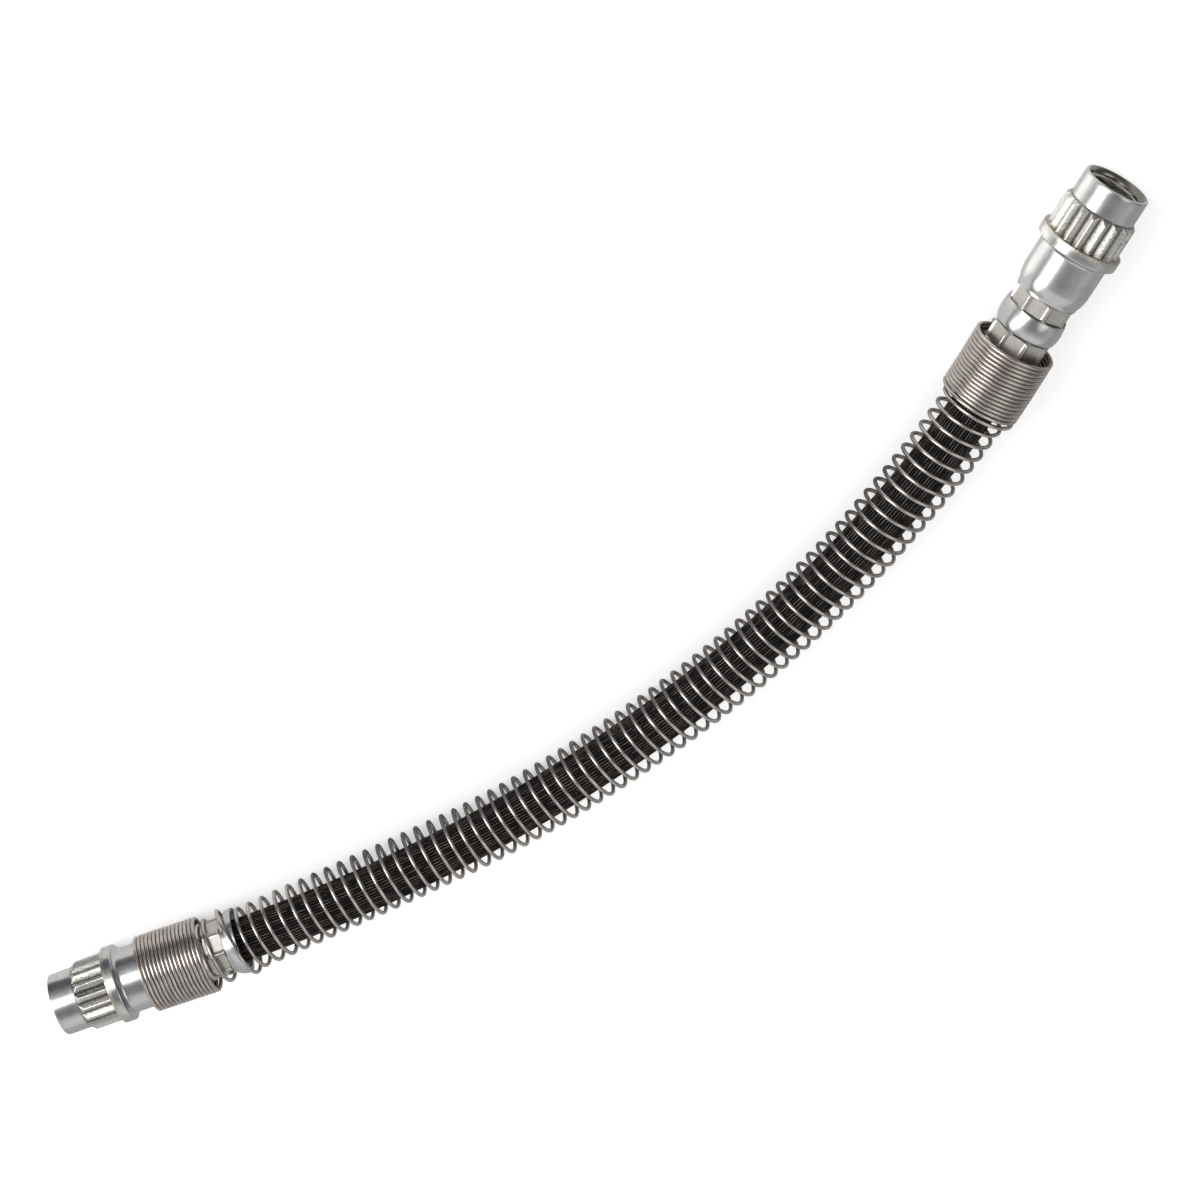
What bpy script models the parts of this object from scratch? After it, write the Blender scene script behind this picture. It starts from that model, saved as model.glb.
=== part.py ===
"""Hydraulic brake hose for a motor vehicle, lying on a table.

A rubber hose runs in one shallow bend between two crimped steel end fittings.
A steel wire guard spring is wound round it: open in the middle, and wound
close and wider over both fittings.

X runs along the line between the two bell mouths, Z is up. The origin is at
the bottom, in the middle of the finished part. All sizes are in metres.
"""

import math

import bmesh
import bpy
import numpy as np
from mathutils import Matrix

# Clearance between pieces that touch in the real hose
gap = 0.0003

# Hose
hose_diameter = 0.0102
hose_bore = 0.0032
hose_sides = 12
hose_step = 0.007

# Run of the centreline between the two bell mouths
lip_span = 0.2181
left_turn = math.radians(21.2)
right_turn = math.radians(23.5)
left_reach = 0.0756
right_reach = 0.0798

# End fitting, both ends alike, with stations counted from the rim of its nose
fitting_sides = 24
nose_diameter = 0.0146
nose_length = 0.0057
rim_chamfer = 0.00025
spline_count = 18
spline_diameter = 0.0165
spline_root_diameter = 0.01484
spline_crest_width = 0.0006
spline_chamfer = 0.0016
flange_start = 0.0136
flange_width = 0.0025
flange_diameter = 0.0182
flange_round = 0.0003
flange_fillet = 0.0012
body_diameter = 0.0154
fitting_length = 0.0450
lip_diameter = 0.0156
lip_round = 0.0003
bell_length = 0.0038
crimp_flats = 8
crimp_across_flats = 0.0120
second_crimp_length = 0.0042
bulge_diameter = 0.0143
bulge_length = 0.0058
first_crimp_length = 0.0030
shoulder_length = 0.0040
second_crimp_end = fitting_length - bell_length
second_crimp_start = second_crimp_end - second_crimp_length
first_crimp_end = second_crimp_start - bulge_length
first_crimp_start = first_crimp_end - first_crimp_length
body_end = first_crimp_start - shoulder_length
shell_wall = 0.0012

# Threaded port in the nose, drawn at its core diameter, and the socket behind it
port_core_diameter = 0.0110
port_mouth_diameter = 0.0128
port_depth = 0.0110
port_drill_angle = math.radians(118)
socket_diameter = 0.0108
socket_floor = 0.0170

# Insert, the thin steel tube inside the hose end
insert_sides = 12
insert_diameter = 0.0038
insert_bore = 0.0024
insert_start = 0.0138
insert_end = fitting_length - 0.0030
collar_diameter = 0.0068
collar_thickness = 0.0011

# Guard spring
wire_diameter = 0.0009
wire_steps = 12
close_coil_diameter = 0.0173
open_coil_diameter = 0.0146
coil_phase = math.radians(-33)
close_pitch = 0.00093
left_coil_overlap = 0.0232
right_coil_overlap = 0.0048
left_close_turns = 15.4
right_close_turns = 15.3
open_turns = 60
left_loose_turns = 5.85
right_loose_turns = 2.35

rubber_colour = (0.012, 0.012, 0.014)
steel_colour = (0.60, 0.61, 0.62)
insert_colour = (0.55, 0.55, 0.54)
wire_colour = (0.42, 0.38, 0.35)


def clear_scene():
    for item in list(bpy.data.objects):
        bpy.data.objects.remove(item, do_unlink=True)


def make_material(name, colour, metallic, roughness):
    material = bpy.data.materials.new(name)
    material.use_nodes = True
    shader = material.node_tree.nodes["Principled BSDF"]
    shader.inputs["Base Color"].default_value = (*colour, 1.0)
    shader.inputs["Metallic"].default_value = metallic
    shader.inputs["Roughness"].default_value = roughness
    return material


def smooth_through(stations, places):
    """Values of a smooth curve through (place, value) stations that never overshoots them."""
    x, y = np.array(stations, float).T
    step = np.diff(x)
    slope = np.diff(y) / step
    tangent = np.zeros(len(x))
    for i in range(1, len(x) - 1):
        if slope[i - 1] * slope[i] > 0:
            before, after = step[i - 1] + 2 * step[i], 2 * step[i - 1] + step[i]
            tangent[i] = (before + after) / (before / slope[i] + after / slope[i - 1])
    tangent[0], tangent[-1] = slope[0], slope[-1]
    places = np.asarray(places, float)
    i = np.clip(np.searchsorted(x, places) - 1, 0, len(x) - 2)
    t = (places - x[i]) / step[i]
    return (
        y[i] * (1 + 2 * t) * (1 - t) ** 2
        + y[i + 1] * t * t * (3 - 2 * t)
        + step[i] * (tangent[i] * t * (1 - t) ** 2 - tangent[i + 1] * t * t * (1 - t))
    )


class Run:
    """The centreline, measured by its length from the left nose rim."""

    def __init__(self):
        left_lip = np.array([-lip_span / 2, 0.0, flange_diameter / 2])
        right_lip = np.array([lip_span / 2, 0.0, flange_diameter / 2])
        self.left_axis = np.array([math.cos(left_turn), -math.sin(left_turn), 0.0])
        self.right_axis = np.array([math.cos(right_turn), math.sin(right_turn), 0.0])
        self.left_nose = left_lip - fitting_length * self.left_axis
        self.right_nose = right_lip + fitting_length * self.right_axis
        t = np.linspace(0, 1, 900)[:, None]
        leave = left_lip + left_reach * self.left_axis
        arrive = right_lip - right_reach * self.right_axis
        bend = (
            left_lip * (1 - t) ** 3
            + leave * 3 * t * (1 - t) ** 2
            + arrive * 3 * t * t * (1 - t)
            + right_lip * t**3
        )
        # the middle lies on the table with its open coils, the ends with their flanges
        drop = (flange_diameter - open_coil_diameter - wire_diameter) / 2
        bend[:, 2] -= drop * np.sin(math.pi * t[:, 0]) ** 2
        self.points = np.vstack([self.left_nose, bend, self.right_nose])
        pieces = np.linalg.norm(np.diff(self.points, axis=0), axis=1)
        self.places = np.concatenate([[0], np.cumsum(pieces)])
        self.length = self.places[-1]

    def at(self, place):
        return np.array([np.interp(place, self.places, self.points[:, k]) for k in range(3)])

    def frame(self, place, shift=None):
        """Point, direction, sideways direction (out of the bend) and up direction at a place."""
        ends = [max(place - 0.0005, 0.0), min(place + 0.0005, self.length)]
        ends = [self.at(end) + (shift(end) if shift else 0) for end in ends]
        along = ends[1] - ends[0]
        along /= np.linalg.norm(along)
        side = np.cross(along, [0, 0, 1])
        side /= np.linalg.norm(side)
        point = self.at(place) + (shift(place) if shift else 0)
        return point, along, side, np.cross(side, along)


def new_object(name, mesh, material, parent):
    item = bpy.data.objects.new(name, mesh)
    bpy.context.collection.objects.link(item)
    item.parent = parent
    if not mesh.materials:
        mesh.materials.append(material)
    return item


def finish_mesh(name, bm, sharp_angle=math.radians(32)):
    bmesh.ops.recalc_face_normals(bm, faces=bm.faces)
    mesh = bpy.data.meshes.new(name)
    bm.to_mesh(mesh)
    bm.free()
    mesh.shade_smooth()
    mesh.set_sharp_from_angle(angle=sharp_angle)
    return mesh


def skin(bm, first, second):
    """Joins two rings of (angle, vertex) pairs, which may differ in number, with triangles."""
    turn = 2 * math.pi
    a = first + [(first[0][0] + turn, first[0][1])]
    b = second + [(second[0][0] + turn, second[0][1])]
    i = j = 0
    while i < len(a) - 1 or j < len(b) - 1:
        step_first = j == len(b) - 1 or (i < len(a) - 1 and a[i + 1][0] < b[j + 1][0] - 1e-9)
        if step_first:
            bm.faces.new((a[i][1], b[j][1], a[i + 1][1]))
            i += 1
        else:
            bm.faces.new((a[i][1], b[j][1], b[j + 1][1]))
            j += 1


def ring(sides, radius):
    """Angles and radii of a round ring."""
    return [(2 * math.pi * k / sides, radius) for k in range(sides)]


def flat_ring(sides, flats, apothem):
    """A ring pressed flat by the dies of a crimping tool, with a corner between two dies."""
    flat = 2 * math.pi / flats
    angles = [2 * math.pi * k / sides for k in range(sides)]
    return [(a, apothem / math.cos((a % flat) - flat / 2)) for a in angles]


def spline_ring(root, crest):
    """Straight teeth: one point in each groove and two on each narrow crest."""
    pitch = 2 * math.pi / spline_count
    half_crest = spline_crest_width / spline_diameter
    points = []
    for k in range(spline_count):
        middle = (k + 0.5) * pitch
        points += [(k * pitch, root), (middle - half_crest, crest), (middle + half_crest, crest)]
    return points


def without_straight(profile):
    """Drops the points of a (station, radius) profile that lie on a straight line."""
    kept = [profile[0]]
    for point, after in zip(profile[1:], profile[2:]):
        before = kept[-1]
        area = (point[0] - before[0]) * (after[1] - before[1])
        area -= (after[0] - before[0]) * (point[1] - before[1])
        if abs(area) > 1e-10:
            kept.append(point)
    return kept + [profile[-1]]


def turned(name, rings):
    """A closed shape turned about X from a loop of (station, ring) pairs."""
    bm = bmesh.new()
    loops = []
    for station, points in rings:
        loops.append(
            [(a, bm.verts.new((station, r * math.cos(a), r * math.sin(a)))) for a, r in points]
        )
    for first, second in zip(loops, loops[1:] + loops[:1]):
        skin(bm, first, second)
    return finish_mesh(name, bm)


def shell_outline():
    """Outside of the crimped shell from the body to the lip: (station, radius, is_flat)."""
    body, crimp = body_diameter / 2, crimp_across_flats / 2
    bulge, lip = bulge_diameter / 2, lip_diameter / 2
    neck = crimp / math.cos(math.pi / crimp_flats)
    outline = [(body_end, body, False)]
    for k in (1, 2, 3):
        turn = k * math.pi / 8
        reach = (first_crimp_start - body_end) * math.sin(turn)
        outline.append((body_end + reach, neck + (body - neck) * math.cos(turn), False))
    outline += [(first_crimp_start, crimp, True), (first_crimp_end, crimp, True)]
    for share in (0.1, 0.3, 0.5, 0.7, 0.9):
        station = first_crimp_end + share * (second_crimp_start - first_crimp_end)
        height = math.sin(math.pi * share) ** 0.7
        outline.append((station, neck + (bulge - neck) * height, False))
    outline += [(second_crimp_start, crimp, True), (second_crimp_end, crimp, True)]
    for share in (0.2, 0.5, 0.8, 1.0):
        station = second_crimp_end + share * (fitting_length - lip_round - second_crimp_end)
        outline.append((station, neck + (lip - neck) * math.sin(share * math.pi / 2), False))
    return outline


def shell_inside():
    """Inside of the socket, from the lip back to its floor: (station, radius)."""
    socket = socket_diameter / 2
    inside = [(socket_floor, socket)]
    for station, radius, _ in shell_outline():
        in_bell = station > second_crimp_end
        inside.append((station, radius - shell_wall if in_bell else min(radius - shell_wall, socket)))
    inside.append((fitting_length, inside[-1][1] + lip_round))
    return without_straight(inside)[::-1]


def fitting_mesh():
    sides = fitting_sides
    nose, flange, body = nose_diameter / 2, flange_diameter / 2, body_diameter / 2
    root, crest = spline_root_diameter / 2, spline_diameter / 2
    flange_end = flange_start + flange_width
    web_hole = insert_diameter / 2 + gap
    port_core = port_core_diameter / 2
    port_mouth = port_mouth_diameter / 2
    port_tip = port_depth + (port_core - web_hole) / math.tan(port_drill_angle / 2)

    rings = [
        (0.0, ring(sides, nose - rim_chamfer)),
        (rim_chamfer, ring(sides, nose)),
        (nose_length, ring(sides, nose)),
        (nose_length, spline_ring(root, root)),
        (nose_length + spline_chamfer, spline_ring(root, crest)),
        (flange_start, spline_ring(root, crest)),
        (flange_start, ring(2 * spline_count, flange - flange_round)),
        (flange_start + flange_round, ring(sides, flange)),
        (flange_end - flange_round, ring(sides, flange)),
    ]
    for k in range(4):
        turn = k * math.pi / 6
        station = flange_end + flange_fillet * math.sin(turn)
        height = (flange - flange_round - body) * (1 - math.sin(turn)) ** 1.5
        rings.append((station, ring(sides, body + height)))
    for station, radius, is_flat in shell_outline():
        points = flat_ring(sides, crimp_flats, radius) if is_flat else ring(sides, radius)
        rings.append((station, points))
    rings.append((fitting_length, ring(sides, lip_diameter / 2 - lip_round)))
    rings += [(station, ring(sides, radius)) for station, radius in shell_inside()]
    rings += [
        (socket_floor, ring(sides, web_hole)),
        (port_tip, ring(sides, web_hole)),
        (port_depth, ring(sides, port_core)),
        (port_mouth - port_core, ring(sides, port_core)),
        (0.0, ring(sides, port_mouth)),
    ]
    return turned("fitting", rings)


def insert_mesh():
    outer, inner, collar = insert_diameter / 2, insert_bore / 2, collar_diameter / 2
    collar_start = socket_floor + gap
    collar_end = collar_start + collar_thickness
    profile = [
        (insert_start, inner),
        (insert_start, outer),
        (collar_start, outer),
        (collar_start, collar),
        (collar_end, collar),
        (collar_end, outer),
        (insert_end, outer),
        (insert_end, inner),
    ]
    return turned("insert", [(s, ring(insert_sides, r)) for s, r in profile])


def place_at_end(item, nose, axis):
    """Puts a fitting or an insert with its X along the axis that leads into the hose."""
    item.matrix_local = Matrix.Translation(nose) @ Matrix.Rotation(
        math.atan2(axis[1], axis[0]), 4, "Z"
    )


def hose_sections(run):
    """Place, outer radius and bore radius of each section, from one end to the other."""
    start = socket_floor + gap + collar_thickness + gap
    inside = shell_inside()[::-1]
    stations = [s for s, _ in inside if start < s < insert_end]
    stations = [start] + stations + [insert_end + gap, insert_end + 2 * gap, fitting_length]
    end = []
    for s in stations:
        room = np.interp(s, [p[0] for p in inside], [p[1] for p in inside])
        outer = min(hose_diameter / 2, room * math.cos(math.pi / fitting_sides) - gap)
        over_insert = s <= insert_end + gap
        end.append((s, outer, insert_diameter / 2 + gap if over_insert else hose_bore / 2))
    free = run.length - 2 * fitting_length
    count = round(free / hose_step)
    middle = [
        (fitting_length + free * k / count, hose_diameter / 2, hose_bore / 2)
        for k in range(1, count)
    ]
    return end + middle + [(run.length - s, outer, bore) for s, outer, bore in reversed(end)]


def hose_mesh(run):
    bm = bmesh.new()
    sections = hose_sections(run)
    loops = []
    for place, radius in [(p, r) for p, r, _ in sections] + [(p, b) for p, _, b in sections[::-1]]:
        point, _, side, up = run.frame(place)
        loop = []
        for angle, r in ring(hose_sides, radius):
            corner = point + r * (math.cos(angle) * side + math.sin(angle) * up)
            loop.append(bm.verts.new(corner))
        loops.append(loop)
    for first, second in zip(loops, loops[1:] + loops[:1]):
        for k in range(hose_sides):
            after = (k + 1) % hose_sides
            bm.faces.new((first[k], first[after], second[after], second[k]))
    return finish_mesh("hose", bm)


def coil_stations(run):
    """Turn number with the place along the hose, and with the coil's radius to mid-wire."""
    close, loose = close_coil_diameter / 2, open_coil_diameter / 2
    over_lip = lip_diameter / 2 + gap + wire_diameter / 2
    lip = fitting_length
    first = lip - left_coil_overlap
    left_end = first + left_close_turns * close_pitch
    last = run.length - lip + right_coil_overlap
    right_start = last - right_close_turns * close_pitch
    a = left_close_turns
    b = a + left_loose_turns
    c = b + open_turns
    d = c + right_loose_turns
    end = d + right_close_turns
    # one millimetre, at the fitting's and at the wire's real size
    mm, wire_mm = fitting_length / 45, wire_diameter / 0.9
    left_open, right_open = lip + 12.3 * mm, right_start - 5.1 * mm
    free = right_open - left_open
    places = [
        (0.0, first),
        (a - 1, left_end - close_pitch),
        (a, left_end),
        (a + 0.6, lip - 7.1 * mm),
        (a + 1.1, lip - 5.4 * mm),
        (a + 1.6, lip - 3.0 * mm),
        (a + 1.88, lip - 0.1 * mm),
        (a + 2.05, lip + 0.8 * mm),
        (a + 2.6, lip + 1.6 * mm),
        (a + 2.85, lip + 2.3 * mm),
        (a + 3.85, lip + 5.6 * mm),
        (b, left_open),
        (b + open_turns * 0.25, left_open + free * 0.2492),
        (b + open_turns * 0.5, left_open + free * 0.4953),
        (b + open_turns * 0.75, left_open + free * 0.7446),
        (c, right_open),
        (c + 1.0, right_start - 2.0 * mm),
        (d, right_start),
        (d + 1, right_start + close_pitch),
        (end, last),
    ]
    radii = [
        (0.0, close),
        (a, close),
        (a + 0.6, loose + 0.3 * wire_mm),
        (a + 1.2, loose + 0.2 * wire_mm),
        (a + 1.45, loose + 0.6 * wire_mm),
        (a + 1.7, over_lip + 0.3 * wire_mm),
        (a + 1.95, over_lip + 0.1 * wire_mm),
        (a + 2.15, loose + 0.3 * wire_mm),
        (a + 2.6, loose),
        (c, loose),
        (c + 0.75, loose + 0.2 * wire_mm),
        (c + 1.25, close - 0.1 * wire_mm),
        (d, close),
        (end, close),
    ]
    return places, radii


def coil_shift(run):
    """How far the coil stands to the outer side of the hose's centreline, at a place."""
    # one millimetre along the run and across the coil, at their real sizes
    along_mm, across_mm = run.length / 314.0, open_coil_diameter / 14.6
    stations = [
        (21, 0.10),
        (35, 0.50),
        (38, 0.59),
        (45, 0.35),
        (58, -0.60),
        (75, -1.15),
        (92, -0.90),
        (106, -0.30),
        (130, 0.10),
        (190, 0.55),
        (213, 0.45),
        (232, 0.15),
        (258, 0.25),
        (274, 0.0),
    ]

    def shift(place):
        side = run.frame(place)[2]
        return side * across_mm * smooth_through(stations, np.clip(place / along_mm, 21, 274))

    return shift


def spring_mesh(run):
    """A square bar of the wire's own cross-section area, wound along the run."""
    places, radii = coil_stations(run)
    last_turn = places[-1][0]
    count = round(last_turn * wire_steps)
    turns = np.linspace(0, last_turn, count + 1)
    along_run = smooth_through(places, turns)
    radius = smooth_through(radii, turns)
    # the corners stand out so that the chords keep the coil's mean diameter
    corner_factor = 1 / math.sqrt(math.cos(math.pi / wire_steps))
    half_side = wire_diameter * math.sqrt(math.pi) / 4
    shift = coil_shift(run)
    bm = bmesh.new()
    loops = []
    for turn, place, r in zip(turns, along_run, radius * corner_factor):
        point, along, side, up = run.frame(place, shift)
        angle = 2 * math.pi * turn + coil_phase
        outward = -math.cos(angle) * side + math.sin(angle) * up
        corners = ((-1, -1), (1, -1), (1, 1), (-1, 1))
        loops.append(
            [
                bm.verts.new(point + outward * (r + half_side * out) + along * half_side * ahead)
                for out, ahead in corners
            ]
        )
    for first, second in zip(loops, loops[1:]):
        for k in range(4):
            after = (k + 1) % 4
            bm.faces.new((first[k], first[after], second[after], second[k]))
    bm.faces.new(loops[0])
    bm.faces.new(loops[-1])
    return finish_mesh("guard_spring", bm, math.radians(60))


def centre_on_table(base, items):
    """Moves the base so that the whole part is centred on the origin and stands on Z = 0."""
    bpy.context.view_layer.update()
    corners = []
    for item in items:
        corners += [item.matrix_world @ vertex.co for vertex in item.data.vertices]
    low = [min(corner[k] for corner in corners) for k in range(3)]
    high = [max(corner[k] for corner in corners) for k in range(3)]
    base.location = (-(low[0] + high[0]) / 2, -(low[1] + high[1]) / 2, -low[2])


def build():
    clear_scene()
    steel = make_material("zinc_plated_steel", steel_colour, 1.0, 0.32)
    liner = make_material("insert_steel", insert_colour, 1.0, 0.4)
    rubber = make_material("hose_rubber", rubber_colour, 0.0, 0.55)
    wire = make_material("spring_wire", wire_colour, 1.0, 0.35)

    base = bpy.data.objects.new("brake_hose", None)
    bpy.context.collection.objects.link(base)
    run = Run()
    fitting, insert = fitting_mesh(), insert_mesh()
    ends = {
        "left": (run.left_nose, run.left_axis),
        "right": (run.right_nose, -run.right_axis),
    }
    items = []
    for end, (nose, axis) in ends.items():
        for piece, mesh, material in (("fitting", fitting, steel), ("insert", insert, liner)):
            item = new_object(f"{end}_{piece}", mesh, material, base)
            place_at_end(item, nose, axis)
            items.append(item)
    items.append(new_object("hose", hose_mesh(run), rubber, base))
    items.append(new_object("guard_spring", spring_mesh(run), wire, base))
    centre_on_table(base, items)


build()
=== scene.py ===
"""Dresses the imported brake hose: fine meshes, materials, studio floor, lights and camera."""

import math

import bmesh
import bpy
import numpy as np
from mathutils import Matrix, Vector


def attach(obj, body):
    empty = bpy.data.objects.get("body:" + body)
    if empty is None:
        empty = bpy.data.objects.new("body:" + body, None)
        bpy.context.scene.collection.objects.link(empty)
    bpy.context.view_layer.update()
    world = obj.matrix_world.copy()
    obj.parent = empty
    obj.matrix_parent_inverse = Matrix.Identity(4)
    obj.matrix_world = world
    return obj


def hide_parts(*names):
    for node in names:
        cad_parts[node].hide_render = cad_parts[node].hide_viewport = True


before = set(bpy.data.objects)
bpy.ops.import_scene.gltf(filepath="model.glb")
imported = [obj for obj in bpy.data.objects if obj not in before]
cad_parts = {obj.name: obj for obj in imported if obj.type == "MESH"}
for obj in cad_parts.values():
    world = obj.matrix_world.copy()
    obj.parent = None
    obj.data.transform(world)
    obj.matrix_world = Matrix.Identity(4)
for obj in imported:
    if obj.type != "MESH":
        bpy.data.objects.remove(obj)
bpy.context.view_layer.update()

bl_info = {
    "name": "Brake Hose",
    "version": (1, 0, 0),
    "blender": (4, 5, 0),
    "location": "3D View > Sidebar > Brake Hose",
    "description": "Builds a crimped brake hose with its guard spring",
    "category": "Add Mesh",
}

# Where the middle between the two bell mouths stands, at the axis of the fittings less a flange
bell_middle = Vector((0.0002126, 0.0029334, 0.0000870))

# The camera's place and its right, up and back directions
camera_place = Vector((0.17137, 0.35776, 0.52969))
camera_right = Vector((0.76837, -0.61817, 0.16577))
camera_up = Vector((0.58848, 0.58057, -0.56270))
camera_back = Vector((0.25160, 0.52991, 0.80987))

# The long soft light's place and the direction of its length
strip_place = Vector((-0.66, 1.075, 0.78))
strip_along = Vector((-0.917, -0.058, -0.393))

# Cards in the table's plane: name, place, length and width, shade
flat_cards = (
    ("dark_card", (-0.185, 0.38, 0.0004), (0.51, 0.69), (0.13, 0.13, 0.14, 1)),
    ("near_card", (-0.005, 0.012, 0.0003), (0.17, 0.046), (0.3, 0.3, 0.31, 1)),
    ("grey_card", (0, -0.397, 0.0002), (1.0, 0.806), (0.56, 0.56, 0.56, 1)),
)

# The pale card: how far it stands behind the right nose rim, beside it and over the table
pale_card_place = (0.015, 0.0225, 0.0006)
pale_card_size = (0.034, 0.021)
pale_card_shade = (0.95, 0.94, 0.90, 1)
pale_card_glow = 0.95


def length(name, default, description):
    """A property for a length in metres."""
    return bpy.props.FloatProperty(
        name=name, description=description, default=default, unit="LENGTH", precision=5
    )


def count(name, default, description):
    """A property for a whole number."""
    return bpy.props.IntProperty(name=name, description=description, default=default, min=1)


def share(name, default, description):
    """A property for a number from 0 to 1."""
    return bpy.props.FloatProperty(
        name=name, description=description, default=default, min=0, max=1, subtype="FACTOR"
    )


def turn(name, degrees, description):
    """A property for an angle."""
    return bpy.props.FloatProperty(
        name=name, description=description, default=math.radians(degrees), unit="ROTATION"
    )


def colour(name, default, description):
    """A property for a colour."""
    return bpy.props.FloatVectorProperty(
        name=name, description=description, default=default, size=3, subtype="COLOR", min=0, max=1
    )


class RunSizes(bpy.types.PropertyGroup):
    """The bend that the hose lies in."""

    lip_span: length("Bell Span", 0.2181, "Straight distance between the two bell mouths")
    left_turn: turn("Left Turn", 21.2, "Angle of the left fitting to the line between the bells")
    right_turn: turn("Right Turn", 23.5, "Angle of the right fitting to the same line")
    left_reach: length("Left Reach", 0.0756, "How far the hose holds the left fitting's direction")
    right_reach: length("Right Reach", 0.0798, "How far it holds the right fitting's direction")


class FittingSizes(bpy.types.PropertyGroup):
    """The crimped end fitting, with stations counted from the rim of its nose."""

    length: length("Length", 0.0450, "From the rim of the nose to the bell mouth")
    nose_diameter: length("Nose Diameter", 0.0146, "Plain nose in front of the splines")
    nose_length: length("Nose Length", 0.0057, "From the rim to the splines")
    teeth: count("Teeth", 18, "Straight splines round the nose")
    tooth_diameter: length("Tooth Diameter", 0.0165, "Over the splines")
    root_diameter: length("Root Diameter", 0.0146, "At the bottom of the grooves")
    tooth_crest: share("Tooth Crest", 0.10, "Share of a tooth's pitch that is its flat top")
    tooth_end: length("Tooth End", 0.0136, "Station where the splines stop")
    left_teeth_turn: turn("Left Teeth Turn", 2, "How far the left splines are turned")
    right_teeth_turn: turn("Right Teeth Turn", 12, "How far the right splines are turned")
    flange_start: length("Flange Start", 0.0136, "Station of the flange's nose side")
    flange_width: length("Flange Width", 0.0025, "Thickness of the flange")
    flange_diameter: length("Flange Diameter", 0.0182, "Over the flange")
    body_diameter: length("Body Diameter", 0.0154, "Round body behind the flange")
    crimp_flats: count("Crimp Flats", 8, "Dies of the crimping tool")
    crimp_across: length("Across Crimp", 0.0121, "Across two opposite crimp flats")
    ridge_height: length("Crimp Ridge", 0.00045, "Metal squeezed up between two dies")
    left_crimp_turn: turn("Left Crimp Turn", -5, "How far the left crimps are turned")
    right_crimp_turn: turn("Right Crimp Turn", 32, "How far the right crimps are turned")
    bulge_diameter: length("Bulge Diameter", 0.0143, "Swelling between the two crimps")
    lip_diameter: length("Bell Diameter", 0.0156, "Over the bell mouth")
    wall: length("Wall", 0.0012, "Thickness of the crimped shell")
    socket_diameter: length("Socket Diameter", 0.0108, "Inside of the shell, where it isn't crimped")
    socket_floor: length("Socket Floor", 0.0170, "Station of the socket's bottom")
    web_hole: length("Web Hole", 0.0044, "Passage between port and socket")
    thread_core: length("Thread Core", 0.0110, "Core diameter of the port's thread")
    thread_depth: length("Thread Depth", 0.00052, "Depth of the thread")
    thread_pitch: length("Thread Pitch", 0.0010, "Pitch of the port's thread")
    port_mouth: length("Port Mouth", 0.0134, "Countersink at the rim")
    port_depth: length("Port Depth", 0.0110, "Depth of the port's full bore")


class HoseSizes(bpy.types.PropertyGroup):
    """The rubber hose."""

    diameter: length("Diameter", 0.0102, "Over the ribs")
    bore: length("Bore", 0.0032, "Inside of the hose")
    ribs: count("Ribs", 46, "Fine ribs along the hose")
    rib_height: length("Rib Height", 0.00014, "Height of a rib over its groove")
    start: length("Start", 0.0188, "Where the hose begins, from the rim of the nose")


class SpringSizes(bpy.types.PropertyGroup):
    """The guard spring."""

    wire: length("Wire", 0.0009, "Diameter of the wire")
    close_diameter: length("Close Coil", 0.0173, "Close coils, to the middle of the wire")
    open_diameter: length("Open Coil", 0.0146, "Open coils, to the middle of the wire")
    close_pitch: length("Close Pitch", 0.00093, "Pitch of the close coils")
    steps: count("Steps", 44, "Points in each turn")
    sides: count("Sides", 12, "Sides of the wire")
    phase: turn("Phase", -33, "Where the first turn begins")


class Finishes(bpy.types.PropertyGroup):
    """Colours of the materials."""

    steel: colour("Plated Steel", (0.535, 0.535, 0.535), "Bright zinc plate")
    # Darkened, this colour also paints the shade inside the port.
    stain_and_port_shade: colour("Steel Stain", (0.44, 0.39, 0.29), "Dull yellowish plate in corners")
    spline: colour("Splines", (0.60, 0.585, 0.545), "Bright rough metal of the splines")
    # This colour is also the painted shade in the spline grooves, along the die edges and in the
    # port's mouth.
    dirt_and_shade: colour("Steel Grime", (0.11, 0.10, 0.08), "Dirt in the grooves")
    insert: colour("Insert", (0.45, 0.44, 0.42), "Plain steel tube")
    wire: colour("Spring Wire", (0.54, 0.495, 0.46), "Drawn spring wire")
    wire_dark: colour("Wire Drawing Lines", (0.28, 0.25, 0.23), "Darker streaks on the wire")
    rubber: colour("Rubber", (0.003, 0.003, 0.004), "Grooves of the hose")
    # Lighter than wear alone: this colour also paints the sheen on the rib crests.
    rib: colour("Rib Tops", (0.185, 0.165, 0.15), "Worn tops of the ribs")
    scuff: colour("Scuffs", (0.22, 0.21, 0.20), "Small pale rubbed marks")
    floor: colour("Floor", (0.93, 0.93, 0.93), "Studio floor")


class StageSizes(bpy.types.PropertyGroup):
    """Studio lights and camera."""

    view_angle: turn("View Angle", 22.916, "Field of view of the camera")
    strip: bpy.props.FloatProperty(
        name="Strip Light", description="Power of the long soft light", default=18.5, unit="POWER"
    )
    strip_length: length("Strip Length", 2.2, "Length of the soft light")
    strip_width: length("Strip Width", 0.66, "Width of the soft light")
    sky: bpy.props.FloatProperty(
        name="Sky", description="Brightness of the studio's walls", default=1.0
    )


class BrakeHoseSettings(bpy.types.PropertyGroup):
    """All sizes and colours of the brake hose."""

    run: bpy.props.PointerProperty(type=RunSizes)
    fitting: bpy.props.PointerProperty(type=FittingSizes)
    hose: bpy.props.PointerProperty(type=HoseSizes)
    spring: bpy.props.PointerProperty(type=SpringSizes)
    finish: bpy.props.PointerProperty(type=Finishes)
    stage: bpy.props.PointerProperty(type=StageSizes)


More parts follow.
